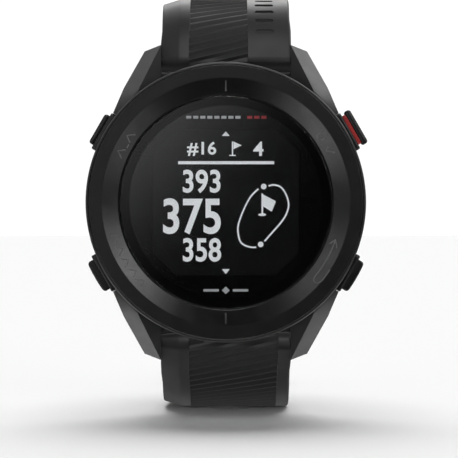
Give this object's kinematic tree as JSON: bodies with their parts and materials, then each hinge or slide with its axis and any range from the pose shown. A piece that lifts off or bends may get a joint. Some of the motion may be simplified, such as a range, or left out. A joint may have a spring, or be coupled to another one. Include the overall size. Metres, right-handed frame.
{
  "type": "golf gps watch",
  "caption": "Round black golf watch with a raised bezel, side buttons, an eight-sided display and a ribbed two-piece silicone strap standing open.",
  "frame": {"origin": "middle of the flat outer face of the case back", "axes": "the watch stands on its strap as when shown upright: +Z to 12 o'clock and up, +X to 3 o'clock, +Y out of the case back towards the wrist; the face looks along -Y"},
  "size_m": [0.0443, 0.1151, 0.0665],
  "materials": {
    "case_polymer": "fine-textured fibre-reinforced polymer, satin",
    "bezel_polymer": "smooth moulded polymer, satin",
    "cover_glass": "flat polished glass",
    "print_black": "black printed border",
    "display": "dark transflective display with light grey graphics",
    "light_guide": "clear light guide",
    "inner_plastic": "moulded, matt",
    "circuit_board": "solder mask over copper",
    "gold_contact": "gold plated",
    "steel": "plain stainless steel",
    "battery_pouch": "laminated foil",
    "seal_rubber": "matt silicone rubber",
    "button_polymer": "satin moulded polymer",
    "red_polymer": "red polymer, satin",
    "strap_silicone": "matt silicone with fine diagonal ribs",
    "buckle_metal": "black coated stainless steel"
  },
  "bodies": {
    "watch_head": {"case_middle": "case_polymer", "bezel": "bezel_polymer", "lens": "cover_glass", "lens_gasket": "seal_rubber", "display_mask": "print_black", "display_panel": "display", "backlight_guide": "light_guide", "display_frame": "inner_plastic", "main_board": "circuit_board", "gps_antenna": "gold_contact", "rf_shield": "steel", "battery": "battery_pouch", "back_cover": "case_polymer", "back_gasket": "seal_rubber", "case_screw_1": "steel", "case_screw_2": "steel", "case_screw_3": "steel", "case_screw_4": "steel", "charge_port": "inner_plastic", "contact_pin_1": "gold_contact", "contact_pin_2": "gold_contact", "contact_pin_3": "gold_contact", "contact_pin_4": "gold_contact", "up_collar": "button_polymer", "up_seal": "seal_rubber", "up_switch": "inner_plastic", "ok_collar": "button_polymer", "ok_seal": "seal_rubber", "ok_switch": "inner_plastic", "down_collar": "button_polymer", "down_seal": "seal_rubber", "down_switch": "inner_plastic", "back_collar": "button_polymer", "back_seal": "seal_rubber", "back_switch": "inner_plastic"},
    "up_button": {"up_button": "button_polymer"},
    "ok_button": {"ok_button": "button_polymer", "ok_button_ring": "red_polymer"},
    "down_button": {"down_button": "button_polymer"},
    "back_button": {"back_button": "button_polymer"},
    "upper_strap": {"upper_strap": "strap_silicone", "upper_bar_tube": "steel", "upper_bar_fixed_pin": "steel", "upper_bar_spring": "steel", "buckle_bar": "buckle_metal", "fixed_keeper": "strap_silicone"},
    "lower_strap": {"lower_strap": "strap_silicone", "lower_bar_tube": "steel", "lower_bar_fixed_pin": "steel", "lower_bar_spring": "steel"},
    "upper_release_pin": {"upper_bar_sliding_pin": "steel"},
    "lower_release_pin": {"lower_bar_sliding_pin": "steel"},
    "free_keeper": {"free_keeper": "strap_silicone"},
    "buckle_frame": {"buckle_frame": "buckle_metal"},
    "buckle_tang": {"buckle_tang": "buckle_metal"}
  },
  "joints": [
    {"name": "up_press", "type": "slide", "parent": "watch_head", "child": "up_button", "axis": [0.866, 0, -0.5], "range_m": [0, 0.0005], "stiffness_N_per_m": 900, "springref_m": -0.0012},
    {"name": "ok_press", "type": "slide", "parent": "watch_head", "child": "ok_button", "axis": [-0.866, 0, -0.5], "range_m": [0, 0.0005], "stiffness_N_per_m": 900, "springref_m": -0.0012},
    {"name": "down_press", "type": "slide", "parent": "watch_head", "child": "down_button", "axis": [0.866, 0, 0.5], "range_m": [0, 0.0005], "stiffness_N_per_m": 900, "springref_m": -0.0012},
    {"name": "back_press", "type": "slide", "parent": "watch_head", "child": "back_button", "axis": [-0.866, 0, 0.5], "range_m": [0, 0.0005], "stiffness_N_per_m": 900, "springref_m": -0.0012},
    {"name": "upper_strap_swing", "type": "hinge", "parent": "watch_head", "child": "upper_strap", "pos_m": [0, -0.0035, 0.0226], "axis": [1, 0, 0], "range_deg": [-10, 60]},
    {"name": "lower_strap_swing", "type": "hinge", "parent": "watch_head", "child": "lower_strap", "pos_m": [0, -0.0035, -0.0226], "axis": [-1, 0, 0], "range_deg": [-10, 60]},
    {"name": "upper_release_slide", "type": "slide", "parent": "upper_strap", "child": "upper_release_pin", "axis": [-1, 0, 0], "range_m": [0, 0.0012], "stiffness_N_per_m": 900, "springref_m": -0.0012},
    {"name": "lower_release_slide", "type": "slide", "parent": "lower_strap", "child": "lower_release_pin", "axis": [1, 0, 0], "range_m": [0, 0.0012], "stiffness_N_per_m": 900, "springref_m": -0.0012},
    {"name": "keeper_slide", "type": "slide", "parent": "upper_strap", "child": "free_keeper", "axis": [0, 0.8829, -0.4695], "range_m": [-0.005, 0.0045]},
    {"name": "buckle_swing", "type": "hinge", "parent": "upper_strap", "child": "buckle_frame", "pos_m": [0, 0.06735, 0.01114], "axis": [1, 0, 0], "range_deg": [-60, 35]},
    {"name": "tang_swing", "type": "hinge", "parent": "buckle_frame", "child": "buckle_tang", "pos_m": [0, 0.06735, 0.01114], "axis": [1, 0, 0], "range_deg": [0, 70]}
  ]
}
